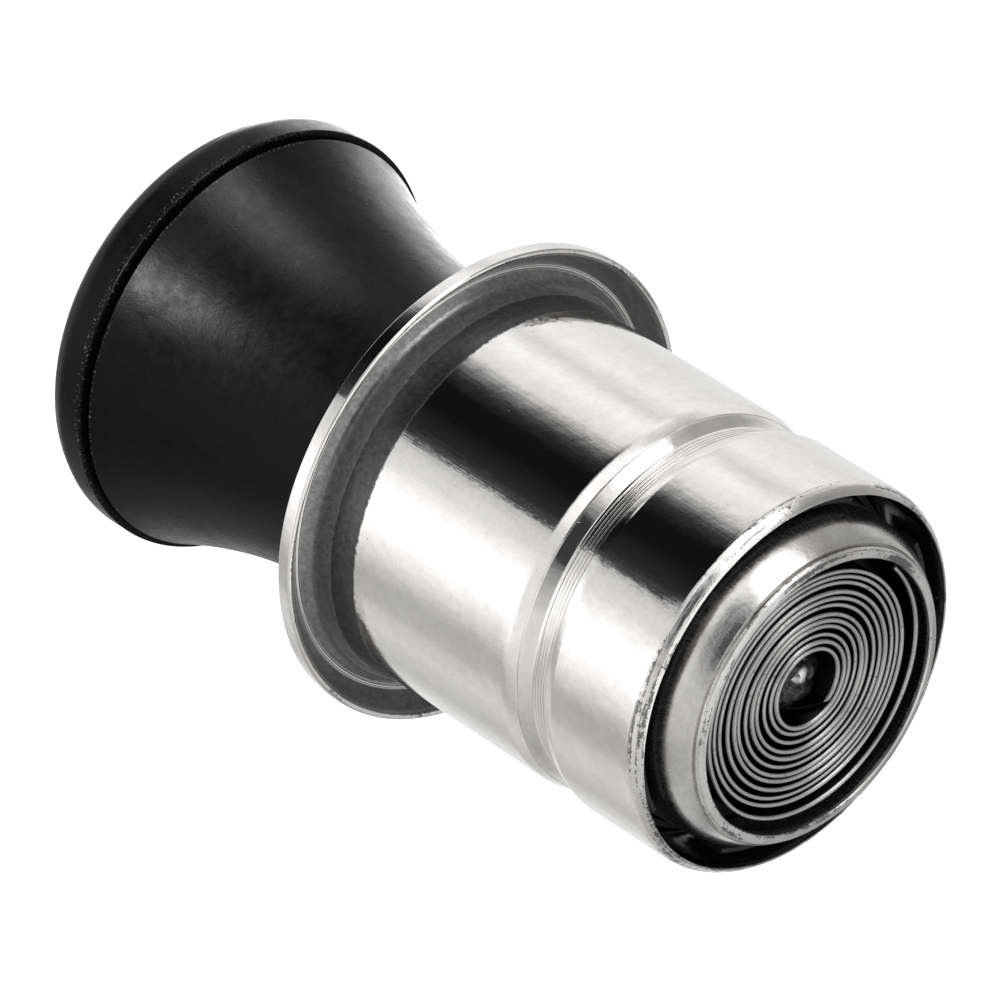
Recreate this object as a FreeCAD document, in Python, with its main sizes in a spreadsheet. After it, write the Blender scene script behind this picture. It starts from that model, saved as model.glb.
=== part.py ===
import FreeCAD, Part
import math
import os

import Sketcher

# Removable heating plug of a 12 V dashboard lighter.
# Frame: the plug's axis lies along Y. The origin is the centre of the flange's
# seat plane, +Y runs into the socket towards the heating coil, the knob is on
# the -Y side and Z is up. Lengths are in millimetres, and a "station" is a
# place along +Y measured from the seat plane.

SIZES = {
    # sleeve: one drawn sheet-metal shell
    "barrel_radius": 10.4,
    "sheet": 0.5,
    "mouth_nose": 0.25,
    "flange_radius": 12.8,
    "flange_edge": 0.8,
    "seat_inner_radius": 12.5,
    "seat_back_radius": 12.45,
    "valley_radius": 11.4,
    "valley_station": -1.0,
    "valley_back_station": -1.6,
    "root_station": 1.4,
    "root_fillet": 2.6,
    "bead_station": 14.75,
    "bead_depth": 0.65,
    "bead_floor": 0.9,
    "bead_rear_slope": 1.3,
    "bead_front_slope": 0.65,
    "bead_wall_shift": 0.15,
    "bead_shoulder_fillet": 0.7,
    "bead_crease_fillet": 0.25,
    "mouth_station": 22.24,
    # knob
    "neck_radius": 8.35,
    "neck_end_station": 1.5,
    "flare_start_station": -3.5,
    "flare_end_station": -17.05,
    "flare_end_radius": 11.2,
    "knob_cavity_radius": 6.6,
    "knob_cavity_station": -4.7,
    "knob_back_station": -19.4,
    "knob_spigot_radius": 9.9,
    "cap_radius": 11.53,
    "cap_edge": 0.14,
    "cap_front_station": -17.36,
    "cap_face_station": -20.6,
    "cap_corner": 1.5,
    "cap_inset_radius": 7.5,
    "cap_inset_depth": 0.25,
    # stem and its fasteners
    "insert_radius": 4.2,
    "insert_groove": 0.5,
    "insert_end_station": -4.6,
    "insert_back_station": -16.6,
    "stem_radius": 2.5,
    "stem_chamfer": 0.4,
    "stem_back_station": -15.6,
    "stem_front_station": 20.2,
    "thread_bore_radius": 1.3,
    "thread_bore_station": 12.0,
    "thread_bore_point": 0.78,
    "nut_flats": 8.0,
    "nut_height": 1.7,
    "nut_bevel": 0.05,
    "lock_washer_radius": 4.4,
    "lock_washer_sheet": 0.5,
    # spring pack
    "follower_radius": 9.75,
    "follower_sheet": 0.6,
    "follower_collar_outer": 6.8,
    "follower_collar_inner": 6.2,
    "follower_collar_length": 1.4,
    "seat_washer_radius": 9.8,
    "seat_washer_hole": 5.5,
    "seat_washer_sheet": 0.6,
    "seat_washer_station": 12.45,
    "spring_mean_radius": 7.65,
    "spring_wire": 0.9,
    "spring_turns": 4.0,
    # carrier and heating element
    "carrier_radius": 9.8,
    "carrier_station": 16.15,
    "carrier_length": 1.95,
    "carrier_fillet": 0.35,
    "shield_radius": 9.45,
    "shield_sheet": 0.3,
    "shield_rim_station": 21.5,
    "shield_slot_angle": 40.0,
    "mica_radius": 8.3,
    "mica_sheet": 0.4,
    "cup_radius": 8.85,
    "cup_sheet": 0.45,
    "cup_shoulder_station": 20.9,
    "cup_shoulder_bend": 3.4,
    "cup_base_fillet": 0.4,
    "lip_outer_radius": 8.0,
    "lip_inner_radius": 7.33,
    "lip_station": 23.6,
    "lip_roll": 0.36,
    "lip_undercut": 0.1,
    "cup_hole": 3.5,
    "ceramic_radius": 8.2,
    "ceramic_sheet": 0.7,
    "terminal_washer_radius": 3.7,
    "terminal_washer_sheet": 0.25,
    "stud_head_radius": 1.5,
    "stud_head_station": 22.5,
    "stud_dome": 0.68,
    "stud_end_station": 13.0,
    "coil_inner_radius": 1.85,
    "coil_pitch": 0.43,
    "coil_turns": 12.0,
    "coil_ribbon": 0.18,
    "coil_height": 2.6,
    "coil_front_station": 23.45,
    "coil_tail_growth": 0.3,
    "coil_tail_angle": 12.0,
    # fits
    "gap": 0.03,
}
SLOT_DIRECTION = 136.0  # degrees from +X towards +Z, middle of one shield slot
ALONG_Y = FreeCAD.Rotation(FreeCAD.Vector(1, 0, 0), -90)


class Dim:
    """A length that knows its value and the sheet expression that drives it."""

    def __init__(self, value, text):
        self.value = value
        self.text = text

    def __add__(self, other):
        return combine(self, "+", other, self.value + number(other))

    def __sub__(self, other):
        return combine(self, "-", other, self.value - number(other))

    def __mul__(self, other):
        return combine(self, "*", other, self.value * number(other))

    def __truediv__(self, other):
        return combine(self, "/", other, self.value / number(other))


def number(thing):
    return thing.value if isinstance(thing, Dim) else float(thing)


def expression(thing):
    return thing.text if isinstance(thing, Dim) else repr(float(thing))


def combine(left, sign, right, value):
    return Dim(value, "(%s %s %s)" % (left.text, sign, expression(right)))


def make_sheet(doc):
    """Writes the driving sizes into the spreadsheet, one alias to a row."""
    sheet = doc.addObject("Spreadsheet::Sheet", "sizes")
    for row, (alias, value) in enumerate(SIZES.items(), start=1):
        sheet.set("A%d" % row, alias)
        sheet.set("B%d" % row, "%g" % value)
        sheet.setAlias("B%d" % row, alias)
    doc.recompute()
    return sheet


def dim(alias):
    return Dim(SIZES[alias], "sizes." + alias)


def origin_feature(body, role):
    return next(f for f in body.Origin.OriginFeatures if f.Role == role)


def new_body(doc, name):
    body = doc.addObject("PartDesign::Body", name + "_body")
    body.Label = name
    return body


def new_sketch(body, name, plane="XY_Plane"):
    sketch = body.newObject("Sketcher::SketchObject", name)
    sketch.AttachmentSupport = [(origin_feature(body, plane), "")]
    sketch.MapMode = "FlatFace"
    return sketch


def arc_between(start, end, radius, turn):
    """Arc from start to end; turn is +1 for anticlockwise, -1 for clockwise."""
    chord = end - start
    middle = (start + end) * 0.5
    sagitta = math.sqrt(max(radius ** 2 - (chord.Length / 2) ** 2, 0.0))
    normal = FreeCAD.Vector(-chord.y, chord.x, 0).normalize()
    centre = middle + normal * sagitta * turn
    bulge = middle - centre
    if bulge.Length < 1e-9:
        bulge = normal * -turn
    return Part.Arc(start, centre + bulge.normalize() * radius, end)


def draw_outline(sketch, outline):
    """Closed outline of (radius, station) corners, each bound to the sheet.

    A corner may add (arc radius, turn): the stretch that arrives there is then
    an arc of that radius, anticlockwise for +1 and clockwise for -1.
    """
    points = [FreeCAD.Vector(number(c[0]), number(c[1]), 0) for c in outline]
    ends = []
    for index, corner in enumerate(outline):
        start = points[index - 1]
        if len(corner) == 2:
            sketch.addGeometry(Part.LineSegment(start, points[index]))
            ends.append((1, 2))
            continue
        arc = arc_between(start, points[index], number(corner[2]), corner[3])
        geometry = sketch.addGeometry(arc)
        bind_constraint(sketch, ("Radius", geometry), corner[2])
        ends.append((1, 2) if corner[3] > 0 else (2, 1))
    for index, corner in enumerate(outline):
        after = (index + 1) % len(outline)
        tail = (index, ends[index][1])
        sketch.addConstraint(Sketcher.Constraint("Coincident", *tail, after, ends[after][0]))
        if number(corner[0]) == 0:
            sketch.addConstraint(Sketcher.Constraint("PointOnObject", *tail, -2))
        else:
            bind_constraint(sketch, ("DistanceX", -1, 1) + tail, corner[0])
        bind_constraint(sketch, ("DistanceY", -1, 1) + tail, corner[1])


def bind_constraint(sketch, constraint, size):
    index = sketch.addConstraint(Sketcher.Constraint(*constraint, number(size)))
    if isinstance(size, Dim):
        sketch.setExpression("Constraints[%d]" % index, size.text)


def turned(doc, name, outline):
    """A piece of revolution about Y, from its half section."""
    body = new_body(doc, name)
    sketch = new_sketch(body, name + "_section")
    draw_outline(sketch, outline)
    spin = body.newObject("PartDesign::Revolution", name + "_turn")
    spin.Profile = sketch
    spin.ReferenceAxis = (sketch, ["V_Axis"])
    spin.Angle = 360
    sketch.Visibility = False
    doc.recompute()
    return body


def washer(doc, name, hole, radius, station, thickness):
    """A flat ring between two stations."""
    front = station + thickness
    outline = [(hole, station), (radius, station), (radius, front), (hole, front)]
    return turned(doc, name, outline)


def round_edges(doc, body, circles, radius):
    """Fillets the circular edges that lie at the given (radius, station) places."""
    base = body.Tip
    names = []
    for index, edge in enumerate(base.Shape.Edges, start=1):
        if not isinstance(edge.Curve, Part.Circle):
            continue
        for place in circles:
            same_radius = abs(edge.Curve.Radius - number(place[0])) < 1e-4
            same_station = abs(edge.Curve.Center.y - number(place[1])) < 1e-4
            if same_radius and same_station:
                names.append("Edge%d" % index)
    if len(names) != len(circles):
        raise RuntimeError("%s: found %d of %d edges" % (body.Label, len(names), len(circles)))
    fillet = body.newObject("PartDesign::Fillet", body.Label + "_fillet")
    fillet.Base = (base, names)
    fillet.setExpression("Radius", radius.text)
    doc.recompute()
    return fillet


def make_sleeve(doc):
    """Shell with a dished flange, a rolled bead and a rounded mouth."""
    outer = dim("barrel_radius")
    inner = outer - dim("sheet")
    rim = dim("flange_radius")
    root = dim("root_station")
    bead = dim("bead_station")
    depth = dim("bead_depth")
    rear_floor = bead - dim("bead_floor") / 2
    front_floor = bead + dim("bead_floor") / 2
    rear_top = rear_floor - dim("bead_rear_slope")
    front_top = front_floor + dim("bead_front_slope")
    shift = dim("bead_wall_shift")
    nose = dim("mouth_nose")
    mouth = dim("mouth_station") - nose
    edge_back = dim("flange_edge") * -1
    outline = [
        (rim, edge_back),
        (rim, 0),
        (dim("seat_inner_radius"), 0),
        (dim("valley_radius"), dim("valley_station")),
        (outer, root, dim("root_fillet"), -1),
        (outer, rear_top),
        (outer - depth, rear_floor),
        (outer - depth, front_floor),
        (outer, front_top),
        (outer, mouth),
        (outer - nose, dim("mouth_station"), nose, 1),
        (inner, mouth, nose, 1),
        (inner, front_top + shift),
        (inner - depth, front_floor + shift),
        (inner - depth, rear_floor - shift),
        (inner, rear_top - shift),
        (inner, root),
        (dim("valley_radius"), dim("valley_back_station"), dim("root_fillet") + dim("sheet"), 1),
        (dim("seat_back_radius"), edge_back),
    ]
    body = turned(doc, "sleeve", outline)
    shoulders = [(outer, rear_top), (inner - depth, front_floor + shift)]
    shoulders += [(inner - depth, rear_floor - shift)]
    round_edges(doc, body, shoulders, dim("bead_shoulder_fillet"))
    creases = [(outer - depth, rear_floor), (outer - depth, front_floor), (outer, front_top)]
    round_edges(doc, body, creases, dim("bead_crease_fillet"))
    return body


def make_knob(doc):
    """Flared grip, open at its neck, with a spigot that the cap snaps on to."""
    neck = dim("neck_radius")
    end = dim("neck_end_station")
    flare_length = dim("flare_start_station") - dim("flare_end_station")
    flare_rise = dim("flare_end_radius") - neck
    flare_radius = (flare_rise * flare_rise + flare_length * flare_length) / (flare_rise * 2)
    hole = dim("insert_radius") + dim("gap")
    outline = [
        (neck, end),
        (dim("knob_cavity_radius"), end),
        (dim("knob_cavity_radius"), dim("knob_cavity_station")),
        (hole, dim("knob_cavity_station")),
        (hole, dim("insert_back_station") - dim("gap")),
        (0, dim("insert_back_station") - dim("gap")),
        (0, dim("knob_back_station")),
        (dim("knob_spigot_radius"), dim("knob_back_station")),
        (dim("knob_spigot_radius"), dim("flare_end_station")),
        (dim("flare_end_radius"), dim("flare_end_station")),
        (neck, dim("flare_start_station"), flare_radius, -1),
    ]
    return turned(doc, "knob_body", outline)


def make_cap(doc):
    """Face of the knob: a rounded rim round a shallow plain inset, a groove behind the flare."""
    face = dim("cap_face_station")
    corner = dim("cap_corner")
    front = dim("cap_front_station")
    bore = dim("knob_spigot_radius") + dim("gap")
    nose = dim("cap_edge")
    outline = [
        (bore, front),
        (bore, dim("knob_back_station") - dim("gap")),
        (0, dim("knob_back_station") - dim("gap")),
        (0, face + dim("cap_inset_depth")),
        (dim("cap_inset_radius"), face + dim("cap_inset_depth")),
        (dim("cap_inset_radius") + dim("cap_inset_depth"), face),
        (dim("cap_radius") - corner, face),
        (dim("cap_radius"), face + corner, corner, 1),
        (dim("cap_radius"), front - nose),
        (dim("cap_radius") - nose, front, nose, 1),
    ]
    return turned(doc, "knob_cap", outline)


def make_insert(doc):
    """Steel bush moulded into the knob, with two keying grooves."""
    outer = dim("insert_radius")
    groove = outer - dim("insert_groove")
    hole = dim("stem_radius") + dim("gap")
    back = dim("insert_back_station")
    front = dim("insert_end_station")
    pitch = (front - back) / 5
    outline = [(hole, back), (outer, back)]
    for step in (1, 3):
        low = back + pitch * step
        outline += [(outer, low), (groove, low), (groove, low + pitch), (outer, low + pitch)]
    outline += [(outer, front), (hole, front)]
    return turned(doc, "knob_insert", outline)


def make_stem(doc):
    """Threaded rod from the knob to the heating element, bored for the stud."""
    outer = dim("stem_radius")
    bore = dim("thread_bore_radius")
    back = dim("stem_back_station")
    front = dim("stem_front_station")
    blind = dim("thread_bore_station")
    chamfer = dim("stem_chamfer")
    outline = [
        (0, back),
        (outer - chamfer, back),
        (outer, back + chamfer),
        (outer, front),
        (bore, front),
        (bore, blind),
        (0, blind - dim("thread_bore_point")),
    ]
    return turned(doc, "stem", outline)


def make_nut(doc, name, station):
    """Hexagon nut round the stem, its corners bevelled by a ball."""
    prism = doc.addObject("Part::Prism", name + "_hexagon")
    prism.Polygon = 6
    corner_radius = dim("nut_flats") / math.sqrt(3)
    prism.setExpression("Circumradius", corner_radius.text)
    prism.setExpression("Height", "sizes.nut_height")
    ball = doc.addObject("Part::Sphere", name + "_bevel")
    ball.setExpression("Radius", (corner_radius + dim("nut_bevel")).text)
    ball.setExpression("Placement.Base.z", "sizes.nut_height / 2")
    bevelled = doc.addObject("Part::Common", name + "_blank")
    bevelled.Base = prism
    bevelled.Tool = ball
    hole = doc.addObject("Part::Cylinder", name + "_hole")
    hole.setExpression("Radius", "sizes.stem_radius + sizes.gap")
    hole.setExpression("Height", "sizes.nut_height")
    nut = doc.addObject("Part::Cut", name + "_piece")
    nut.Base = bevelled
    nut.Tool = hole
    nut.Label = name
    nut.Placement = FreeCAD.Placement(FreeCAD.Vector(0, 0, 0), ALONG_Y)
    nut.setExpression("Placement.Base.y", station.text)
    doc.recompute()
    return nut


def make_lock_washer(doc, name, station):
    """Thin ring between a nut and the piece that it clamps."""
    hole = dim("stem_radius") + dim("gap")
    return washer(doc, name, hole, dim("lock_washer_radius"), station, dim("lock_washer_sheet"))


def make_follower(doc):
    """Washer that the spring pushes on, with a collar that centres the spring."""
    station = dim("neck_end_station") + dim("gap")
    front = station + dim("follower_sheet")
    hole = dim("follower_collar_inner")
    collar = dim("follower_collar_outer")
    tip = front + dim("follower_collar_length")
    radius = dim("follower_radius")
    outline = [(hole, station), (radius, station), (radius, front)]
    outline += [(collar, front), (collar, tip), (hole, tip)]
    return turned(doc, "spring_follower", outline)


def make_spring(doc):
    """Open-ended compression spring between the follower and its seat."""
    wire = dim("spring_wire")
    low = dim("neck_end_station") + dim("follower_sheet") + dim("gap") * 2 + wire / 2
    high = dim("seat_washer_station") - dim("gap") - wire / 2
    body = new_body(doc, "return_spring")
    sketch = new_sketch(body, "spring_wire_section")
    start = FreeCAD.Vector(number(dim("spring_mean_radius")), number(low), 0)
    sketch.addGeometry(Part.Circle(start, FreeCAD.Vector(0, 0, 1), number(wire) / 2))
    bind_constraint(sketch, ("Radius", 0), wire / 2)
    bind_constraint(sketch, ("DistanceX", -1, 1, 0, 3), dim("spring_mean_radius"))
    bind_constraint(sketch, ("DistanceY", -1, 1, 0, 3), low)
    helix = body.newObject("PartDesign::AdditiveHelix", "spring_helix")
    helix.Profile = sketch
    helix.ReferenceAxis = (sketch, ["V_Axis"])
    helix.Mode = "height-turns-angle"
    helix.setExpression("Height", (high - low).text)
    helix.setExpression("Turns", "sizes.spring_turns")
    sketch.Visibility = False
    doc.recompute()
    return body


def make_carrier(doc):
    """Drawn cup that guides the element in the sleeve and stops on the bead."""
    outer = dim("carrier_radius")
    sheet = dim("sheet")
    back = dim("carrier_station")
    front = back + dim("carrier_length")
    hole = dim("stem_radius") + dim("gap")
    outline = [
        (hole, front),
        (hole, front - sheet),
        (outer - sheet, front - sheet),
        (outer - sheet, back),
        (outer, back),
        (outer, front),
    ]
    body = turned(doc, "carrier", outline)
    round_edges(doc, body, [(outer, front)], dim("carrier_fillet"))
    return body


def make_shield(doc):
    """Thin heat shield: a disc with an upstanding wall in two tabs."""
    outer = dim("shield_radius")
    sheet = dim("shield_sheet")
    back = dim("carrier_station") + dim("carrier_length") + dim("gap")
    rim = dim("shield_rim_station")
    hole = dim("stem_radius") + dim("gap")
    outline = [
        (hole, back),
        (outer, back),
        (outer, rim),
        (outer - sheet, rim),
        (outer - sheet, back + sheet),
        (hole, back + sheet),
    ]
    body = turned(doc, "heat_shield", outline)
    before = body.Shape.Volume
    sketch = new_sketch(body, "shield_slot_section")
    floor = back + sheet * 2
    inside = outer - sheet * 2
    outside = outer + sheet
    draw_outline(sketch, [(inside, floor), (outside, floor), (outside, rim + sheet), (inside, rim + sheet)])
    slot = body.newObject("PartDesign::Groove", "shield_slot")
    slot.Profile = sketch
    slot.ReferenceAxis = (sketch, ["V_Axis"])
    slot.Midplane = True
    slot.setExpression("Angle", "sizes.shield_slot_angle")
    doc.recompute()
    pair = body.newObject("PartDesign::PolarPattern", "shield_slots")
    pair.Originals = [slot]
    pair.Axis = (sketch, ["V_Axis"])
    pair.Angle = 360
    pair.Occurrences = 2
    body.Tip = pair
    sketch.Visibility = False
    body.Placement = FreeCAD.Placement(
        FreeCAD.Vector(0, 0, 0), FreeCAD.Rotation(FreeCAD.Vector(0, 1, 0), -SLOT_DIRECTION)
    )
    doc.recompute()
    wall = 2 * math.pi * (number(outer) - number(sheet) / 2) * number(sheet)
    slots = wall * (number(rim) - number(floor)) * 2 * SIZES["shield_slot_angle"] / 360
    if abs(before - body.Shape.Volume - slots) > slots / 50:
        raise RuntimeError("heat_shield: the slots cut the wrong volume")
    return body


def stack_stations():
    """Stations of the plates on the stem, from the shield to the coil."""
    gap = dim("gap")
    mica = dim("carrier_station") + dim("carrier_length") + gap * 2 + dim("shield_sheet")
    cup = mica + dim("mica_sheet") + gap
    ceramic = cup + dim("cup_sheet") + gap
    terminal = dim("stem_front_station") + gap
    return mica, cup, ceramic, terminal


def make_cup(doc, station):
    """Heating cup: its wall bends inwards to a rolled lip."""
    outer = dim("cup_radius")
    sheet = dim("cup_sheet")
    shoulder = dim("cup_shoulder_station")
    bend = dim("cup_shoulder_bend")
    lip = dim("lip_station")
    lip_outer = dim("lip_outer_radius")
    lip_inner = dim("lip_inner_radius")
    roll = dim("lip_roll")
    hole = dim("cup_hole")
    outline = [
        (hole, station),
        (outer, station),
        (outer, shoulder),
        (lip_outer, lip, bend, 1),
        (lip_inner, lip, roll, 1),
        (lip_inner + dim("lip_undercut"), lip - sheet),
        (outer - sheet, shoulder, bend - sheet, -1),
        (outer - sheet, station + sheet),
        (hole, station + sheet),
    ]
    body = turned(doc, "heating_cup", outline)
    round_edges(doc, body, [(outer, station)], dim("cup_base_fillet"))
    return body


def make_stud(doc, station):
    """Terminal screw in the end of the stem, its head in the middle of the coil."""
    shank = dim("thread_bore_radius") - dim("gap")
    head = dim("stud_head_radius")
    base = station + dim("terminal_washer_sheet") + dim("gap")
    top = dim("stud_head_station")
    dome = dim("stud_dome")
    outline = [
        (0, dim("stud_end_station")),
        (shank, dim("stud_end_station")),
        (shank, base),
        (head, base),
        (head, top - dome),
        (head - dome, top, dome, 1),
        (0, top),
    ]
    return turned(doc, "centre_stud", outline)


def make_coil(doc):
    """Heating ribbon: a flat spiral of half turns, with a tail to the cup wall."""
    pitch = SIZES["coil_pitch"]
    ribbon = SIZES["coil_ribbon"]
    half_turns = int(2 * SIZES["coil_turns"])
    back = SIZES["coil_front_station"] - SIZES["coil_height"]

    def spiral(offset):
        edges = []
        radius = SIZES["coil_inner_radius"] + offset
        start = radius
        for step in range(half_turns):
            side = 1 if step % 2 == 0 else -1
            growth = pitch / 2
            if step == half_turns - 1:
                growth = SIZES["coil_tail_growth"]
            reach = radius + growth / 2
            centre = start - side * reach
            first = FreeCAD.Vector(start, back, 0)
            middle = FreeCAD.Vector(centre, back, side * reach)
            start = centre - side * reach
            edges.append(Part.Arc(first, middle, FreeCAD.Vector(start, back, 0)).toShape())
            radius += growth
        return edges

    inner = spiral(0.0)
    outer = spiral(ribbon)
    caps = []
    for index, vertex in ((0, 0), (-1, -1)):
        ends = [side[index].Vertexes[vertex].Point for side in (inner, outer)]
        caps.append(Part.makeLine(*ends))
    outline = Part.Wire(Part.__sortEdges__(inner + outer + caps))
    shape = Part.Face(outline).extrude(FreeCAD.Vector(0, SIZES["coil_height"], 0))
    coil = doc.addObject("Part::Feature", "ribbon_coil_piece")
    coil.Label = "ribbon_coil"
    coil.Shape = shape
    coil.Placement = FreeCAD.Placement(
        FreeCAD.Vector(0, 0, 0), FreeCAD.Rotation(FreeCAD.Vector(0, 1, 0), SIZES["coil_tail_angle"])
    )
    return coil


def build(doc):
    """Makes every piece and returns them in order from knob to coil."""
    gap = dim("gap")
    stem_hole = dim("stem_radius") + gap
    knob_washer = dim("insert_end_station") + gap
    knob_nut = knob_washer + dim("lock_washer_sheet") + gap
    carrier_floor = dim("carrier_station") + dim("carrier_length") - dim("sheet")
    carrier_washer = carrier_floor - gap - dim("lock_washer_sheet")
    carrier_nut = carrier_washer - gap - dim("nut_height")
    mica, cup, ceramic, terminal = stack_stations()
    bush = (stem_hole, dim("cup_hole") - gap, cup, dim("cup_sheet"))
    front_insulator = (stem_hole, dim("ceramic_radius"), ceramic, dim("ceramic_sheet"))
    terminal_ring = (dim("thread_bore_radius"), dim("terminal_washer_radius"), terminal)
    seat = (dim("seat_washer_hole"), dim("seat_washer_radius"), dim("seat_washer_station"))
    return [
        make_cap(doc),
        make_knob(doc),
        make_insert(doc),
        make_lock_washer(doc, "knob_lock_washer", knob_washer),
        make_nut(doc, "knob_nut", knob_nut),
        make_stem(doc),
        make_sleeve(doc),
        make_follower(doc),
        make_spring(doc),
        washer(doc, "spring_seat", *seat, dim("seat_washer_sheet")),
        make_nut(doc, "carrier_nut", carrier_nut),
        make_lock_washer(doc, "carrier_lock_washer", carrier_washer),
        make_carrier(doc),
        make_shield(doc),
        washer(doc, "mica_washer", stem_hole, dim("mica_radius"), mica, dim("mica_sheet")),
        make_cup(doc, cup),
        washer(doc, "insulating_bush", *bush),
        washer(doc, "ceramic_disc", *front_insulator),
        washer(doc, "terminal_washer", *terminal_ring, dim("terminal_washer_sheet")),
        make_stud(doc, terminal),
        make_coil(doc),
    ]


def check(doc, pieces):
    for item in doc.Objects:
        if "Invalid" in item.State or "Error" in item.State:
            raise RuntimeError("%s failed: %s" % (item.Name, item.State))
    for piece in pieces:
        shape = piece.Shape
        if shape.isNull() or not shape.isValid() or len(shape.Solids) != 1:
            raise RuntimeError("%s has no single valid solid" % piece.Label)


def main():
    os.makedirs("parts", exist_ok=True)
    doc = FreeCAD.newDocument("lighter_plug")
    make_sheet(doc)
    pieces = build(doc)
    doc.recompute()
    check(doc, pieces)
    for piece in pieces:
        piece.Shape.exportStep("parts/%s.step" % piece.Label)
        box = piece.Shape.optimalBoundingBox()
        print("%-20s %8.1f mm3  y %7.2f to %6.2f" % (piece.Label, piece.Shape.Volume, box.YMin, box.YMax))


main()
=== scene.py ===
import math

import bmesh
import bpy
from mathutils import Matrix, Vector, noise


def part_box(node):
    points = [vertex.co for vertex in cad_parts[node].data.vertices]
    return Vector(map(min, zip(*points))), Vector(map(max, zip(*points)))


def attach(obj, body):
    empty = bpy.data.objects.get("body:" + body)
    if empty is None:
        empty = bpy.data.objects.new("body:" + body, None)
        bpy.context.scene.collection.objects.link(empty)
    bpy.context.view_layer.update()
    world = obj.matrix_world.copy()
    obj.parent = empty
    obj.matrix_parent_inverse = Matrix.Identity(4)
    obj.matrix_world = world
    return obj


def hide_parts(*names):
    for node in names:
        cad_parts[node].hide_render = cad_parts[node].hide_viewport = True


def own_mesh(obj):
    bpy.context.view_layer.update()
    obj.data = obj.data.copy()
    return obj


# Studio scene of a 12 V vehicle lighter plug. The plug's axis is Y: the knob is
# on the -Y side and the heating coil faces +Y. Outlines are half sections given
# as (radius, station along Y, corner rounding) in millimetres.

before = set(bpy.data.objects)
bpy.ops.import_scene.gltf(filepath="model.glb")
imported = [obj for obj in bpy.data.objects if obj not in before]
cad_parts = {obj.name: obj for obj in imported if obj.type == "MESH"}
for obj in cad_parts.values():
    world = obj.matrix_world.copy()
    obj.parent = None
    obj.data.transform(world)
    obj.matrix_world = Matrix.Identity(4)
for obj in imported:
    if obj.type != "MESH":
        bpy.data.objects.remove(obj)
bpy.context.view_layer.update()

MM = 0.001
SEGMENTS = 288  # faces round each turned piece
ARC_STEP = math.radians(9)

# Sizes read from the CAD frame, in millimetres
_, SLEEVE_HIGH = (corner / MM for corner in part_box("sleeve"))
KNOB_LOW, KNOB_HIGH = (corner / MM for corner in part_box("knob_body"))
CAP_LOW, CAP_HIGH = (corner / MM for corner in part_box("knob_cap"))
CUP_LOW, CUP_HIGH = (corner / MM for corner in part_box("heating_cup"))
SHIELD_LOW, SHIELD_HIGH = (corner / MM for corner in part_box("heat_shield"))
COIL_LOW, COIL_HIGH = (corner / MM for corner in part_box("ribbon_coil"))
STUD_LOW, STUD_HIGH = (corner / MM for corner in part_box("centre_stud"))
SPRING_LOW, SPRING_HIGH = (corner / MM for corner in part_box("return_spring"))

BARREL = 10.4  # outer radius of the sleeve
SHEET = 0.5
COIL_TURNS = 12.4
COIL_START = math.radians(284)


# ---------------------------------------------------------------- mesh tools

def rounded(corners, closed=True):
    """Turns (radius, station, rounding) corners into a smooth list of points."""
    points = []
    count = len(corners)
    for index, (radius, station, rounding) in enumerate(corners):
        here = Vector((radius, station))
        at_end = not closed and index in (0, count - 1)
        if rounding <= 0 or at_end:
            points.append(here)
            continue
        back = Vector(corners[index - 1][:2]) - here
        ahead = Vector(corners[(index + 1) % count][:2]) - here
        half = back.angle(ahead) / 2
        reach = min(rounding / math.tan(half), back.length * 0.5, ahead.length * 0.5)
        size = reach * math.tan(half)
        middle = (back.normalized() + ahead.normalized()).normalized()
        centre = here + middle * (size / math.sin(half))
        start = here + back.normalized() * reach - centre
        end = here + ahead.normalized() * reach - centre
        turn = math.pi - 2 * half
        steps = max(2, math.ceil(turn / ARC_STEP))
        for step in range(steps + 1):
            share = step / steps
            spread = math.sin(turn)
            if spread < 1e-6:
                points.append(centre + start.lerp(end, share))
                continue
            first = math.sin((1 - share) * turn) / spread
            second = math.sin(share * turn) / spread
            points.append(centre + start * first + end * second)
    return points


def arc(centre, radius, start, end, steps=24):
    """Points (radius, station) on a circle in the half section, angles in degrees."""
    points = []
    for step in range(steps + 1):
        angle = math.radians(start + (end - start) * step / steps)
        points.append(Vector((centre[0] + radius * math.cos(angle), centre[1] + radius * math.sin(angle))))
    return points


def subdivide(points, longest, closed=True):
    """Adds points so that no stretch of the outline is longer than `longest`."""
    result = []
    count = len(points)
    for index, point in enumerate(points):
        result.append(point)
        if index == count - 1 and not closed:
            break
        after = points[(index + 1) % count]
        pieces = math.ceil((after - point).length / longest)
        for step in range(1, pieces):
            result.append(point.lerp(after, step / pieces))
    return result


def add_to_scene(name, data):
    obj = bpy.data.objects.new(name, data)
    bpy.context.scene.collection.objects.link(obj)
    return obj


def make_object(name, vertices, faces, material, sharp=35):
    """Smooth-shaded mesh of points in millimetres; edges over `sharp` degrees stay sharp."""
    mesh = bpy.data.meshes.new(name)
    mesh.from_pydata([Vector(v) * MM for v in vertices], [], faces)
    mesh.validate()
    mesh.polygons.foreach_set("use_smooth", [True] * len(mesh.polygons))
    mesh.set_sharp_from_angle(angle=math.radians(sharp))
    mesh.materials.append(material)
    return add_to_scene(name, mesh)


def on_ring(radius, station, angle):
    """Point at a radius and an angle about the plug's axis."""
    return (radius * math.cos(angle), station, radius * math.sin(angle))


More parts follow.
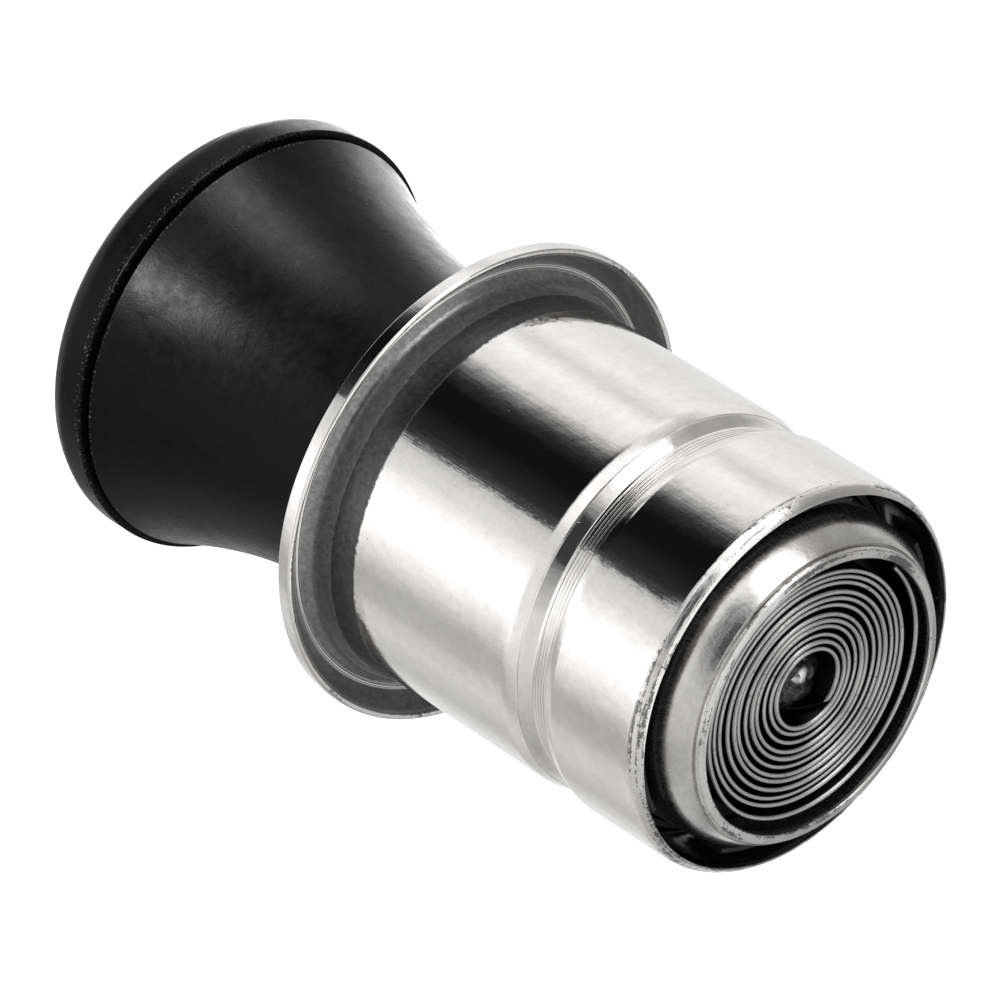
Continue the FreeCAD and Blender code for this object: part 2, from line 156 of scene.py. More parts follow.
def lathe(name, outline, material, closed=True, start=0.0, sweep=360.0, segments=SEGMENTS, warp=None):
    """Turns an outline about Y. warp(radius, station, angle) may move each point."""
    full = sweep >= 360
    rings = segments if full else max(8, round(segments * sweep / 360)) + 1
    vertices = []
    index = {}
    for column in range(rings):
        angle = math.radians(start) + math.radians(sweep) * column / (rings if full else rings - 1)
        for row, point in enumerate(outline):
            radius, station = point
            if radius < 1e-6:
                if (row, "axis") not in index:
                    index[row, "axis"] = len(vertices)
                    vertices.append((0, station, 0))
                index[row, column] = index[row, "axis"]
                continue
            if warp:
                radius, station = warp(radius, station, angle)
            index[row, column] = len(vertices)
            vertices.append(on_ring(radius, station, angle))
    faces = []
    rows = len(outline)
    for column in range(rings if full else rings - 1):
        beside = (column + 1) % rings
        for row in range(rows if closed else rows - 1):
            below = (row + 1) % rows
            corner = [index[row, column], index[below, column], index[below, beside], index[row, beside]]
            unique = list(dict.fromkeys(corner))
            if len(unique) > 2:
                faces.append(unique)
    if not full:
        faces.append([index[row, 0] for row in reversed(range(rows))])
        faces.append([index[row, rings - 1] for row in range(rows)])
    obj = make_object(name, vertices, faces, material)
    outward(obj)
    return obj


def swept_faces(steps, size):
    """Faces of a section of `size` points carried along `steps` steps, with both ends closed."""
    faces = []
    for step in range(steps):
        low, high = step * size, (step + 1) * size
        for side in range(size):
            beside = (side + 1) % size
            faces.append([low + side, low + beside, high + beside, high + side])
    faces.append(list(range(size)))
    faces.append([steps * size + side for side in reversed(range(size))])
    return faces


def outward(obj):
    """Makes every face of a closed piece look outwards."""
    mesh = bmesh.new()
    mesh.from_mesh(obj.data)
    bmesh.ops.recalc_face_normals(mesh, faces=mesh.faces)
    mesh.to_mesh(obj.data)
    mesh.free()


def ripple(place, size, depth, seed):
    """Smooth random shift of up to about `depth`, with bumps `size` apart."""
    return depth * noise.noise(Vector(place) / size + Vector((seed, seed * 2.7, seed * 5.1)))


def place(obj, body, slot, *nodes):
    """Rides a piece on its body and hides the CAD nodes it stands for; its finish name `slot` is not used.
    """
    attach(obj, body)
    if nodes:
        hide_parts(*nodes)
    return obj


# ---------------------------------------------------------------- materials

class Nodes:
    """Short ways to add nodes to a node tree."""

    def __init__(self, tree):
        self.tree = tree

    def add(self, kind, *values, settings=None, **named):
        """Adds a node. `values` fill its inputs in order, None skips one, `named` go by name."""
        made = self.tree.nodes.new("ShaderNode" + kind)
        for key, value in (settings or {}).items():
            setattr(made, key, value)
        for socket, value in zip(made.inputs, values):
            if value is not None:
                self.feed(socket, value)
        for key, value in named.items():
            self.feed(made.inputs[key.replace("_", " ")], value)
        return made

    def node(self, kind, *values, output=0, settings=None, **named):
        return self.add(kind, *values, settings=settings, **named).outputs[output]

    def feed(self, socket, value):
        if isinstance(value, bpy.types.NodeSocket):
            self.tree.links.new(value, socket)
        else:
            socket.default_value = value

    def remap(self, value, low, high, to_low=0.0, to_high=1.0, settings=None):
        return self.node("MapRange", value, low, high, to_low, to_high, settings=settings)

    def math(self, operation, first, second=0.0):
        return self.node("Math", first, second, settings={"operation": operation})

    def mix(self, share, first, second):
        return self.node("Mix", share, *[None] * 5, first, second, output=2, settings={"data_type": "RGBA"})


class Shader(Nodes):
    """A node material with a Principled surface."""

    def __init__(self, name):
        self.material = bpy.data.materials.new(name)
        self.material.use_nodes = True
        super().__init__(self.material.node_tree)
        self.surface = self.tree.nodes["Principled BSDF"]
        self.position = self.add("TexCoord").outputs["Object"]

    def noise(self, scale, detail=3.0, roughness=0.5, stretch=(1, 1, 1), distortion=0.0):
        moved = self.node("Mapping", Vector=self.position, Scale=stretch)
        return self.node("TexNoise", Vector=moved, Scale=scale, Detail=detail,
                         Roughness=roughness, Distortion=distortion)

    def section(self):
        """Radius about Y, station along Y and angle about Y of the point being shaded."""
        x, station, z = self.add("SeparateXYZ", self.position).outputs
        squares = self.math("ADD", self.math("MULTIPLY", x, x), self.math("MULTIPLY", z, z))
        return self.math("SQRT", squares), station, self.math("ARCTAN2", z, x)

    def zones(self, boxes, fade=0.06, ragged=0.0):
        """1 inside any (radius low, high, station low, high) box of the half section, in mm."""
        radius, station, _ = self.section()
        if ragged:
            shift = self.remap(self.noise(4500, 4.0, 0.7), 0.3, 0.7, -ragged * MM, ragged * MM)
            station = self.math("ADD", station, shift)
        total = 0.0
        for box in boxes:
            inside = 1.0
            for measure, low, high in ((radius, *box[:2]), (station, *box[2:])):
                rise = self.remap(measure, (low - fade) * MM, (low + fade) * MM)
                fall = self.remap(measure, (high - fade) * MM, (high + fade) * MM, 1.0, 0.0)
                inside = self.math("MULTIPLY", inside, self.math("MULTIPLY", rise, fall))
            total = self.math("MAXIMUM", total, inside)
        return total

    def turned(self, scale, detail=4.0):
        """Noise drawn out round the axis, as lathe and press marks are."""
        radius, station, angle = self.section()
        spot = self.node("CombineXYZ", radius, station, self.math("MULTIPLY", angle, 0.6 * MM))
        return self.node("TexNoise", Vector=spot, Scale=scale, Detail=detail, Roughness=0.6)

    def bump(self, height, distance, normal=None):
        """Tilts the surface by a height, on top of an earlier bump when one is given."""
        earlier = {} if normal is None else {"Normal": normal}
        return self.node("Bump", Height=height, Distance=distance, Strength=1.0, **earlier)

    def finish(self, **inputs):
        for key, value in inputs.items():
            self.feed(self.surface.inputs[key.replace("_", " ")], value)
        return self.material


def grey(level, warm=0.0):
    return (level * (1 + warm), level, level * (1 - warm), 1.0)


def make_nickel(name, level, rough, streak_depth, stain, dents, worn, shade_and_tarnish=()):
    """Nickel plate brushed along the axis, pitted, stained and scratched at its edges, and darkened in given
    boxes by painted shade with tarnish.

    `worn` lists boxes where the plate is scuffed. The last argument lists boxes of painted shade
    with tarnish, each with the share of the plate's brightness that is left there. Both are boxes of
    `zones`.
    """
    shader = Shader(name)
    fine = shader.noise(1.0, 4.0, 0.65, stretch=(9000, 130, 9000))
    broad = shader.noise(1.0, 3.0, 0.6, stretch=(1500, 60, 1500))
    pits = shader.noise(3600, 2.0, 0.5)
    pebbles = shader.noise(1700, 4.0, 0.65)
    cloud = shader.noise(160, 5.0, 0.6)
    peel = shader.noise(1100, 3.0, 0.6)
    pitted = shader.remap(pits, 0.74, 0.80)
    wear = shader.zones(worn)
    scuffs = shader.noise(1.0, 5.0, 0.7, stretch=(2600, 7000, 2600), distortion=0.6)
    grit = shader.noise(3800, 4.0, 0.75)
    lines = shader.turned(3000)
    marks = shader.math("ADD", shader.math("MULTIPLY", grit, 0.5), lines)
    gouged = shader.math("MULTIPLY", wear, shader.remap(marks, 0.80, 0.84))
    colour = shader.mix(shader.remap(cloud, 0.35, 0.7), grey(level, 0.01), grey(level * (1 - stain), 0.02))
    colour = shader.mix(shader.remap(pebbles, 0.40, 0.62, 0.0, 0.10), colour, grey(level * 0.3))
    shade_and_tarnish_mask = 0.0
    # Painted shade with tarnish: each box gets a darker, grainy colour, and also more roughness and less
    # metal.
    for box, left in shade_and_tarnish:
        shaded_zone = shader.zones([box], ragged=0.08)
        shaded_level = level * left
        shade_and_dirt = shader.mix(shader.remap(grit, 0.35, 0.65), grey(shaded_level * 0.7, 0.01), grey(shaded_level * 1.3, 0.01))
        colour = shader.mix(shaded_zone, colour, shade_and_dirt)
        shade_and_tarnish_mask = shader.math("MAXIMUM", shade_and_tarnish_mask, shaded_zone)
    colour = shader.mix(shader.math("MULTIPLY", pitted, 0.5), colour, grey(level * 0.35))
    colour = shader.mix(shader.math("MULTIPLY", gouged, 0.8), colour, grey(level * 0.08))
    roughness = shader.remap(fine, 0.3, 0.7, rough * 0.7, rough * 1.4)
    roughness = shader.math("ADD", roughness, shader.remap(cloud, 0.45, 0.75, 0.0, rough * 0.6))
    roughness = shader.math("ADD", roughness, shader.math("MULTIPLY", wear, 0.06))
    roughness = shader.math("ADD", roughness, shader.math("MULTIPLY", shade_and_tarnish_mask, 0.18))
    metallic = shader.remap(shade_and_tarnish_mask, 0.0, 1.0, 1.0, 0.75)
    normal = shader.bump(broad, streak_depth * 3.0)
    normal = shader.bump(fine, streak_depth, normal)
    normal = shader.bump(shader.remap(cloud, 0.4, 0.7), dents, normal)
    normal = shader.bump(peel, 0.006 * MM, normal)
    normal = shader.bump(pebbles, 0.0015 * MM, normal)
    normal = shader.bump(pitted, -streak_depth * 2.0, normal)
    scuffed = shader.math("ADD", shader.math("MULTIPLY", scuffs, 0.4), lines)
    normal = shader.bump(shader.math("MULTIPLY", wear, scuffed), 0.03 * MM, normal)
    return shader.finish(Base_Color=colour, Metallic=metallic, Roughness=roughness, Normal=normal)


def make_ribbon():
    """Heating alloy: bare grey edge; down the sides of the strip a painted shade, near black, stands for the
    dark gaps between the turns.
    """
    shader = Shader("heating_ribbon")
    grain = shader.noise(5200, 4.0, 0.65)
    cloud = shader.noise(500, 3.0, 0.5)
    top = COIL_HIGH.y
    unshaded_top = shader.zones([(0.0, 9.0, top - 0.16, top + 0.4)], 0.03)
    bare = shader.mix(cloud, grey(0.34, 0.01), grey(0.60, 0.01))
    bare = shader.mix(shader.remap(grain, 0.60, 0.72), bare, grey(0.10))
    # Painted shade: below the top edge the strip is coloured near black, as the deep gaps between turns are
    # dark.
    colour = shader.mix(unshaded_top, grey(0.008), bare)
    roughness = shader.remap(grain, 0.3, 0.7, 0.30, 0.44)
    normal = shader.bump(grain, 0.008 * MM)
    return shader.finish(Base_Color=colour, Metallic=1.0, Roughness=roughness, Normal=normal)


def make_dull_steel(name, level, rough, warm=0.0, metallic=1.0, scale=900):
    """Plain or blackened steel with an uneven, slightly grainy surface."""
    shader = Shader(name)
    grain = shader.noise(scale * 4, 4.0, 0.6)
    cloud = shader.noise(scale * 0.4, 4.0, 0.55)
    colour = shader.mix(cloud, grey(level * 0.7, warm), grey(level * 1.3, warm))
    roughness = shader.remap(grain, 0.3, 0.7, rough * 0.8, rough * 1.25)
    normal = shader.bump(grain, 0.004 * MM)
    return shader.finish(Base_Color=colour, Metallic=metallic, Roughness=roughness, Normal=normal)


def make_black_plastic():
    """Moulded black plastic: mottled sheen, a fine skin and a scuffed seam."""
    shader = Shader("black_plastic")
    mottle = shader.noise(1500, 6.0, 0.68)
    skin = shader.noise(5200, 3.0, 0.6)
    flow = shader.noise(260, 4.0, 0.6)
    seam = shader.zones([(11.35, 12.0, -17.75, -17.2), (11.05, 11.5, -17.2, -16.9)], 0.03)
    specks = shader.math("MULTIPLY", seam, shader.remap(shader.noise(9000, 2.0, 0.6), 0.60, 0.70))
    colour = shader.mix(mottle, grey(0.001), grey(0.003))
    colour = shader.mix(specks, colour, grey(0.06))
    roughness = shader.remap(mottle, 0.3, 0.7, 0.24, 0.38)
    roughness = shader.math("ADD", roughness, shader.remap(flow, 0.35, 0.7, -0.04, 0.07))
    normal = shader.bump(flow, 0.03 * MM)
    normal = shader.bump(mottle, 0.012 * MM, normal)
    normal = shader.bump(skin, 0.006 * MM, normal)
    return shader.finish(
        Base_Color=colour, Roughness=roughness, Normal=normal, IOR=1.5, Specular_IOR_Level=0.06)


def make_weld():
    """Burnt stud head: near black, with one small spot coloured near white as a painted highlight."""
    shader = Shader("weld_steel")
    grain = shader.noise(3200, 4.0, 0.6)
    # Painted highlight: a small fixed spot on the head is coloured near white and fully metallic.
    middle = Vector((-0.15, 22.2, 0.48)) * MM
    reach = shader.node("VectorMath", shader.position, middle, output=1, settings={"operation": "DISTANCE"})
    painted_highlight = shader.remap(reach, 0.30 * MM, 0.50 * MM, 1.0, 0.0)
    colour = shader.mix(shader.remap(grain, 0.4, 0.65), grey(0.008), grey(0.06))
    colour = shader.mix(painted_highlight, colour, grey(0.95))
    normal = shader.bump(grain, 0.02 * MM)
    metallic = shader.remap(painted_highlight, 0.0, 1.0, 0.4, 1.0)
    return shader.finish(Base_Color=colour, Metallic=metallic, Roughness=0.3, Normal=normal)


def make_mineral(name, light, dark):
    """Mica or ceramic: flaky, matt and lightly stained."""
    shader = Shader(name)
    flakes = shader.noise(900, 5.0, 0.7)
    colour = shader.mix(flakes, dark, light)
    normal = shader.bump(flakes, 0.02 * MM)
    return shader.finish(Base_Color=colour, Roughness=0.75, Normal=normal)


MOUTH_EDGE = (9.0, 11.0, 21.55, 23.0)
FLANGE_CORNER = (12.45, 12.70, -0.4, 0.2)
DISH_FLOOR = (10.3, 11.30, -2.0, 0.5)
DISH_ROOT = (10.0, 10.85, 0.5, 2.05)
DISH_SLOPE = (11.52, 12.40, -2.0, 0.2)
CUP_LIP = (7.0, 8.1, 23.52, 24.5)

# The flange's dish and root are darkened by painted shade with tarnish.
NICKEL = make_nickel(
    "nickel_shell", level=0.84, rough=0.055, streak_depth=0.0016 * MM, stain=0.07, dents=0.012 * MM,
    worn=[MOUTH_EDGE, FLANGE_CORNER],
    shade_and_tarnish=[(DISH_FLOOR, 0.26), (DISH_SLOPE, 0.27), (DISH_ROOT, 0.10)])
CUP_NICKEL = make_nickel(
    "nickel_cup", level=0.80, rough=0.20, streak_depth=0.0010 * MM, stain=0.45, dents=0.030 * MM,
    worn=[CUP_LIP])
RIBBON = make_ribbon()
# Near-black steel, darkened further as painted shade so the gap round the cup reads black.
SHADE_DARK_STEEL = make_dull_steel("dark_steel", 0.010, 0.60, metallic=0.2)
ZINC = make_dull_steel("zinc_steel", 0.55, 0.32, -0.01)
WIRE = make_dull_steel("spring_steel", 0.42, 0.30)
BLACK = make_black_plastic()
WELD = make_weld()
MICA = make_mineral("mica", (0.50, 0.42, 0.30, 1), (0.30, 0.24, 0.16, 1))
CERAMIC = make_mineral("ceramic", (0.80, 0.78, 0.72, 1), (0.66, 0.63, 0.57, 1))
BURNT_CERAMIC = make_mineral("burnt_ceramic", (0.05, 0.045, 0.04, 1), (0.015, 0.014, 0.013, 1))


# ---------------------------------------------------------------- pieces

def make_sleeve():
    """Flanged shell: conical dished flange, ridged bead, edge bent in at the mouth."""
    rim = SLEEVE_HIGH.x
    mouth = SLEEVE_HIGH.y
    bore = BARREL - SHEET
    flange_back = (12.45, -0.8, 0)
    groove = 9.2
    mouth_bend = 1.1
    bend_start = mouth - 0.89
    bend = arc((BARREL - mouth_bend, bend_start), mouth_bend, 0, 53, 10)
    ridges = []
    for number in range(3):
        station, height = 14.62 + 0.25 * number, 9.80 + 0.06 * number
        ridges += [
            (height, station, 0.03),
            (height - 0.10, station + 0.04, 0.02),
            (height + 0.03, station + 0.10, 0.05),
        ]
    before = rounded([
        flange_back,
        (rim, -0.8, 0.10),
        (rim, 0.0, 0.12),
        (12.55, 0.0, 0.12),
        (12.0, -0.52, 2.5),
        (11.52, -0.98, 0.06),
        (11.41, -0.88, 0.06),
        (11.29, -1.00, 0.06),
        (10.72, -0.62, 0.9),
        (10.47, 1.20, 3.0),
        (BARREL, 2.0, 0),
        (BARREL, 12.86, 0.9),
        (10.16, 13.50, 0.02),
        (10.08, 13.53, 0.0),
        (10.14, 13.57, 0.03),
        (9.72, 14.22, 0.25),
        (9.74, 14.36, 0.04),
        (9.60, 14.40, 0.0),
        (9.77, 14.45, 0.04),
        *ridges,
        (9.98, 15.36, 0.05),
        (10.24, 15.62, 0.25),
        (10.34, 15.98, 0.25),
        (BARREL, 16.22, 0.30),
        (BARREL, bend_start, 0),
    ], closed=False)
    after = rounded([
        (9.94, mouth, 0),
        (bore, mouth - 0.06, 0.04),
        (bore, 16.0, 0.2),
        (groove, 15.35, 0.3),
        (groove, 14.15, 0.3),
        (bore, 13.0, 0.6),
        (bore, 1.4, 1.5),
        (10.35, -0.9, 0.8),
        (11.4, -1.58, 0.3),
        flange_back,
    ], closed=False)
    outline = subdivide(before[:-1] + bend + after[:-1], 0.5)

    def warp(radius, station, angle):
        spot = on_ring(radius, station, angle)
        shift = ripple(spot, 6.0, 0.010, 3.0)
        if radius > 11:
            return radius, station + ripple(spot, 5.0, 0.04, 7.0) * (0.0 if station > -0.1 else 1.0)
        if station > bend_start:
            shift += ripple(spot, 0.9, 0.03, 5.0)
        if 13.8 < station < 16.2:
            shift += ripple(spot, 1.6, 0.015, 8.0)
        return radius + min(shift, 0.0), station

    return place(lathe("sleeve_shell", outline, NICKEL, warp=warp), "shell", "nickel_shell", "sleeve")


def make_knob():
    """Flared grip with the moulding's slight waviness."""
    end, back_end = KNOB_HIGH.y, KNOB_LOW.y
    flare_start, flare_end = -3.5, -17.05
    neck, big = 8.35, 11.2
    bush_hole, recess, spigot = 4.23, 6.6, 9.9
    hole_bottom = back_end + 2.8
    recess_bottom = -4.7
    rise = big - neck
    length = flare_start - flare_end
    radius = (rise ** 2 + length ** 2) / (2 * rise)
    sweep = math.degrees(math.asin(length / radius))
    flare = arc((neck + radius, flare_start), radius, 180, 180 + sweep - 0.2, 40)
    inside = rounded([
        (bush_hole, hole_bottom, 0),
        (bush_hole, recess_bottom, 0.3),
        (recess, recess_bottom, 0.5),
        (recess, end, 0.3),
        (neck, end, 0.3),
        (neck, -3.4, 0),
    ], closed=False)
    back = rounded([
        (*flare[-1], 0),
        (big, flare_end, 0.07),
        (spigot, flare_end, 0.1),
        (spigot, back_end, 0.1),
        (0, back_end, 0),
    ], closed=False)
    outline = [Vector((0, hole_bottom))] + inside + flare + back[1:]
    outline = subdivide(outline, 0.7, closed=False)

    def warp(radius, station, angle):
        spot = on_ring(radius, station, angle)
        return radius + min(0.0, ripple(spot, 5.0, 0.03, 11.0)), station

    grip = lathe("knob_grip", outline, BLACK, closed=False, warp=warp)
    return place(grip, "plunger", "knob_black", "knob_body")


def make_cap():
    """Face of the knob, a groove's width behind the flare, with a rounded rim."""
    rim = CAP_HIGH.x
    front = CAP_HIGH.y
    face = CAP_LOW.y
    inset = face + 0.25
    socket, socket_bottom = 9.93, -19.43
    corners = [
        (0, inset, 0),
        (7.5, inset, 0.3),
        (7.75, face, 0.3),
        (10.3, face, 1.6),
        (11.15, -19.7, 1.2),
        (rim, -18.9, 1.2),
        (rim, front, 0.12),
        (socket, front, 0.05),
        (socket, socket_bottom, 0.05),
        (0, socket_bottom, 0),
    ]
    outline = subdivide(rounded(corners, closed=False), 0.8, closed=False)
    return place(lathe("knob_face", outline, BLACK, closed=False), "plunger", "knob_black", "knob_cap")


def make_cup():
    """Heating cup: a drawn dome with a thin rolled lip, slightly uneven."""
    outer = CUP_HIGH.x
    floor = CUP_LOW.y
    top = CUP_HIGH.y
    hole, inner, lip = 3.5, 8.35, 7.35
    floor_top = floor + 0.45
    lip_edge = top - 0.06
    corners = [
        (hole, floor, 0.05),
        (outer, floor, 0.4),
        (outer, 20.9, 1.2),
        (8.68, 22.3, 2.2),
        (8.20, 23.2, 1.6),
        (8.02, 23.46, 0),
        (7.91, 23.34, 0.02),
        (7.88, 23.60, 0.05),
        (7.80, lip_edge, 0.10),
        (7.42, top, 0.06),
        (lip, lip_edge, 0.04),
        (lip, 23.2, 0.2),
        (7.9, 22.6, 0.5),
        (inner, 21.0, 0.8),
        (inner, floor_top, 0.4),
        (hole, floor_top, 0.05),
    ]
    outline = subdivide(rounded(corners), 0.5)

    def warp(radius, station, angle):
        spot = on_ring(radius, station, angle)
        if station > 20:
            radius += min(0.0, ripple(spot, 2.6, 0.05, 2.0) - 0.01)
        return radius, station

    cup = lathe("heating_cup_shell", outline, CUP_NICKEL, warp=warp)
    return place(cup, "plunger", "nickel_cup", "heating_cup")


def make_shield():
    """Heat shield, near black as painted shade in the gap round the cup: a disc with an upstanding wall in
    two tabs.
    """
    hole, inner, outer = 2.53, 9.15, 9.45
    base = SHIELD_LOW.y
    disc_top = base + 0.3
    wall_foot = base + 0.6
    top = SHIELD_HIGH.y
    slot = 40.0
    middle = 136.0
    disc = rounded([
        (hole, base, 0.04),
        (outer, base, 0.3),
        (outer, wall_foot, 0),
        (inner, wall_foot, 0),
        (inner, disc_top, 0.2),
        (hole, disc_top, 0.04),
    ])
    place(lathe("shield_disc", disc, SHADE_DARK_STEEL), "plunger", "dark_steel", "heat_shield")
    wall = rounded([(outer, wall_foot, 0), (outer, top, 0.1), (inner, top, 0.1), (inner, wall_foot, 0)])
    for number, turn in enumerate((0, 180), start=1):
        tab = lathe("shield_tab_%d" % number, subdivide(wall, 0.6), SHADE_DARK_STEEL,
                    start=middle + slot / 2 + turn, sweep=180 - slot)
        place(tab, "plunger", "dark_steel")


def coil_radius(turns):
    """Distance of the strip from the middle of its own turn: uneven, loose at the end."""
    even = 1.80 + 0.398 * turns
    uneven = 0.05 * math.sin(turns * 2.1) + 0.03 * math.sin(turns * 5.3 + 1.0)
    loose = 0.42 * min(1.0, max(0.0, turns - COIL_TURNS + 0.55) / 0.25)
    return even + uneven * min(1.0, turns / 2) + loose


def make_coil():
    """Heating ribbon: a thin strip on edge, wound as a flat spiral round an offset hub."""
    steps = 1500
    half = 0.095
    edge = 0.035
    widest = 7.30 - half
    hub = Vector((0.27, 0.55))
    rim = Vector((0.30, 0.32))
    bottom, top = COIL_LOW.y, COIL_HIGH.y
    section = [
        (-half, bottom), (half, bottom), (half, top - edge), (half - edge, top - 0.01), (0, top),
        (edge - half, top - 0.01), (-half, top - edge),
    ]
    vertices = []
    for step in range(steps + 1):
        turn = COIL_TURNS * step / steps
        angle = COIL_START - 2 * math.pi * turn
        outward_x, outward_z = math.cos(angle), math.sin(angle)
        centre = hub.lerp(rim, turn / COIL_TURNS)
        strip = centre + Vector((outward_x, outward_z)) * coil_radius(turn)
        if strip.length > widest:
            strip *= widest / strip.length
        lift = 0.04 * math.sin(turn * 1.7) + 0.02 * math.sin(turn * 9.2) - 0.06
        lift -= 1.2 * max(0.0, 1 - turn / 0.16)
        for across, station in section:
            raised = station + (lift if station > bottom else 0)
            vertices.append((strip.x + across * outward_x, raised, strip.y + across * outward_z))
    coil = make_object("heating_ribbon_coil", vertices, swept_faces(steps, len(section)), RIBBON, sharp=60)
    outward(coil)
    return place(coil, "plunger", "heating_ribbon", "ribbon_coil")


def make_stud():
    """Dark terminal stud, its head crumpled by the weld that holds the ribbon."""
    bottom, top = STUD_LOW.y, STUD_HIGH.y
    shank, head = 1.27, 1.7
    base = 20.5
    outline = rounded([
        (0, bottom, 0),
        (shank, bottom, 0.1),
        (shank, base, 0),
        (head, base, 0.1),
        (head, top - 0.5, 0.3),
        (1.1, top - 0.15, 0.4),
        (0.5, top, 0.3),
        (0, top, 0),
    ], closed=False)

    def warp(radius, station, angle):
        if station < 20.8:
            return radius, station
        spot = on_ring(radius, station, angle)
        return radius + min(0, ripple(spot, 0.7, 0.25, 4.0)), station + min(0, ripple(spot, 0.55, 0.6, 9.0))

    outline = subdivide(outline, 0.1, closed=False)
    stud = lathe("stud_head", outline, WELD, closed=False, segments=96, warp=warp)
    return place(stud, "plunger", "dark_steel", "centre_stud")


def make_spring():
    """Return spring as a round wire helix; the real spring shortens as the knob is pushed, this mesh keeps
    one length.
    """
    wire = 0.45
    mean = 7.65
    low, high = SPRING_LOW.y + wire, SPRING_HIGH.y - wire
    turns, steps, around = 4.0, 384, 14
    vertices = []
    for step in range(steps + 1):
        share = step / steps
        angle = 2 * math.pi * turns * share
        station = low + (high - low) * share
        for side in range(around):
            tilt = 2 * math.pi * side / around
            reach = mean + wire * math.cos(tilt)
            vertices.append(on_ring(reach, station + wire * math.sin(tilt), angle))
    spring = make_object("spring_wire", vertices, swept_faces(steps, around), WIRE)
    outward(spring)
    place(spring, "shell", "spring_steel", "return_spring")
    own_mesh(spring)


def finish_cad_nodes():
    """Gives each CAD node that stays in view its own material."""
    finishes = [
        (ZINC, ("spring_seat", "spring_follower", "knob_insert", "knob_lock_washer", "knob_nut", "stem",
                "carrier_nut", "carrier_lock_washer", "carrier", "terminal_washer")),
        (MICA, ("mica_washer",)),
        (CERAMIC, ("insulating_bush",)),
        (BURNT_CERAMIC, ("ceramic_disc",)),
    ]
    for material, names in finishes:
        for name in names:
            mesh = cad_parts[name].data
            mesh.materials.clear()
            mesh.materials.append(material)


# ---------------------------------------------------------------- studio

# Camera angles in degrees, distances and focal length in millimetres
AZIMUTH = 138.0
ELEVATION = 34.75
DISTANCE = 442.7
OFFSET_RIGHT = -0.73
OFFSET_DOWN = -0.67
LENS = 324.0


def make_camera():
    """Long lens, seen from above the coil end; offsets set the object in the frame."""
    turn, rise = math.radians(AZIMUTH), math.radians(ELEVATION)
    back = Vector((math.sin(turn) * math.cos(rise), -math.cos(turn) * math.cos(rise), math.sin(rise)))
    right = Vector((math.cos(turn), math.sin(turn), 0))
    up = back.cross(right)
    data = bpy.data.cameras.new("camera")
    data.lens = LENS
    data.sensor_width = 36
    data.clip_start = 0.02
    data.clip_end = 10
    camera = add_to_scene("camera", data)
    camera.location = (back * DISTANCE - right * OFFSET_RIGHT + up * OFFSET_DOWN) * MM
    camera.rotation_mode = "QUATERNION"
    camera.rotation_quaternion = (-back).to_track_quat("-Z", "Y")
    bpy.context.scene.camera = camera


def make_floor():
    """Pale sheet under the object, left out of its reflections."""
    mesh = bpy.data.meshes.new("floor")
    half = 3.0
    corners = [(-half, -half, 0), (half, -half, 0), (half, half, 0), (-half, half, 0)]
    mesh.from_pydata(corners, [], [(0, 1, 2, 3)])
    shader = Shader("pale_floor")
    tint = shader.noise(6.0, 3.0, 0.5)
    pale = shader.mix(tint, grey(0.93), grey(0.96))
    mesh.materials.append(shader.finish(
        Base_Color=pale, Roughness=0.9, Emission_Color=pale, Emission_Strength=0.45))
    floor = add_to_scene("floor", mesh)
    floor.location = (0, 0, -0.075)
    floor.visible_glossy = False


# Studio surround as rings round the Y axis, from behind the flange to in front of the
# mouth: (degrees from +X towards +Z, level). END is what lies straight ahead of the mouth.
WALLS = [
    (-180, 0.87), (-111, 0.85), (-88, 0.59), (-66, 0.75), (-55, 0.70), (-46, 0.54), (-33, 0.52), (-25, 0.72),
    (-14, 1.06), (-2, 1.40), (14, 1.40), (30, 0.90), (40, 0.75), (44.5, 0.58), (46.5, 0.08), (53, 0.026),
    (62, 0.014), (68, 0.007), (82, 0.007), (91, 0.04), (97, 0.23), (106, 0.90), (123, 1.14), (135, 0.82),
    (148, 1.06), (180, 0.87),
]
MIDDLE = [
    (-180, 0.45), (-160, 0.35), (-130, 0.30), (-100, 0.30), (-75, 0.42), (-41, 0.65), (-25, 0.80), (-8, 1.0),
    (10, 0.95), (28, 0.90), (40, 0.75), (47, 0.85), (54, 1.15), (64, 1.25), (82, 1.25), (100, 1.20),
    (112, 0.78), (133, 0.46), (165, 0.40), (180, 0.45),
]
FRONT = [
    (-180, 0.42), (-150, 0.62), (-115, 0.60), (-90, 0.38), (-62, 0.60), (-34, 0.73), (2, 0.82), (26, 0.36),
    (35, 0.05), (60, 0.04), (68, 0.42), (76, 0.95), (86, 1.25), (106, 1.25), (118, 0.62), (135, 0.30),
    (154, 0.30), (180, 0.40),
]
END = 1.15


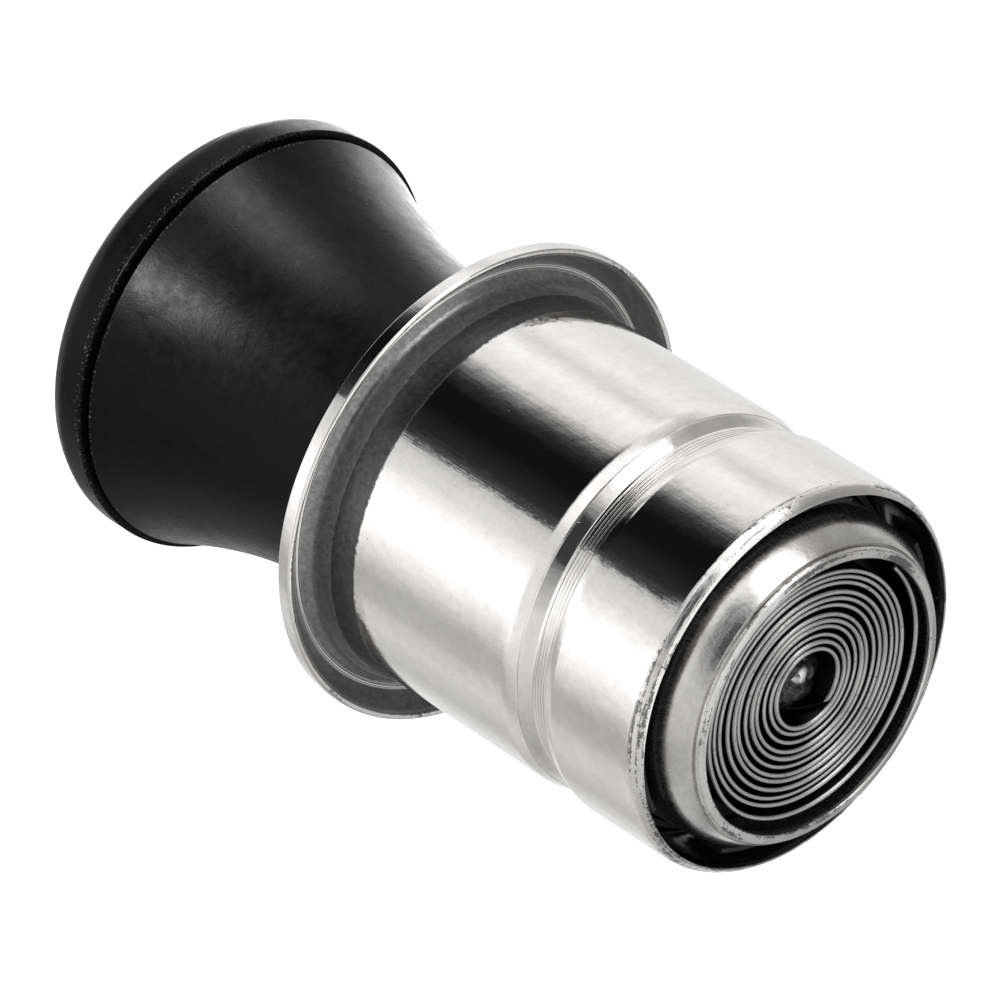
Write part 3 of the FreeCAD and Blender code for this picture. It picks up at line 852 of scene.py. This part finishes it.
def make_world():
    """White walls behind, a long black strip over the axis and a bright card in front."""
    world = bpy.data.worlds.new("studio")
    bpy.context.scene.world = world
    world.use_nodes = True
    nodes = Nodes(world.node_tree)
    background = nodes.tree.nodes["Background"]

    x, y, z = nodes.add("SeparateXYZ", nodes.node("TexCoord")).outputs
    share = nodes.remap(nodes.math("ARCTAN2", z, x), -math.pi, math.pi)

    def ring(stops):
        made = nodes.add("ValToRGB", share)
        bands = made.color_ramp.elements
        bands[0].position, bands[0].color = 0.0, grey(stops[0][1])
        bands[1].position, bands[1].color = 1.0, grey(stops[-1][1])
        for degrees, level in stops[1:-1]:
            bands.new((degrees + 180) / 360).color = grey(level)
        return made.outputs[0]

    def blend(low, high, first, second):
        amount = nodes.remap(y, low, high, settings={"interpolation_type": "SMOOTHSTEP"})
        return nodes.mix(amount, first, second)

    colour = blend(-0.24, 0.02, ring(WALLS), ring(MIDDLE))
    colour = blend(0.13, 0.42, colour, ring(FRONT))
    colour = blend(0.70, 0.84, colour, grey(END))
    nodes.feed(background.inputs["Color"], colour)
    background.inputs["Strength"].default_value = 1.0


def make_light(name, degrees, forward, size, level, only=()):
    """Softbox at an angle round Y and a slope `forward` towards +Y, lighting `only` some pieces."""
    reach = 0.7
    turn = math.radians(degrees)
    flat = math.sqrt(1 - forward ** 2)
    toward = Vector((math.cos(turn) * flat, forward, math.sin(turn) * flat))
    data = bpy.data.lights.new(name, "AREA")
    data.shape = "RECTANGLE"
    data.size, data.size_y = (reach * 2 * math.tan(math.radians(angle) / 2) for angle in size)
    data.energy = level * math.pi * data.size * data.size_y
    light = add_to_scene(name, data)
    light.location = toward * reach
    across = Vector((-math.sin(turn), 0, math.cos(turn)))
    along = toward.cross(across)
    light.rotation_mode = "QUATERNION"
    light.rotation_quaternion = Matrix((across, along, toward)).transposed().to_quaternion()
    if only:
        receivers = bpy.data.collections.new(name + "_receivers")
        for obj in only:
            receivers.objects.link(obj)
        light.light_linking.receiver_collection = receivers


make_sleeve()
knob_pieces = [make_knob(), make_cap()]
make_cup()
make_shield()
make_coil()
make_stud()
make_spring()
finish_cad_nodes()
make_camera()
make_floor()
make_world()
make_light("overhead_strip", 102, 0.40, (32, 40), 1.7)
make_light("overhead_softbox", 101, -0.08, (20, 30), 19.0, knob_pieces)
make_light("front_softbox", 43, 0.0, (12, 11), 135.0, knob_pieces)
make_light("side_softbox", 195, -0.5, (46, 50), 3.6, knob_pieces)
bpy.context.scene.view_settings.view_transform = "Standard"
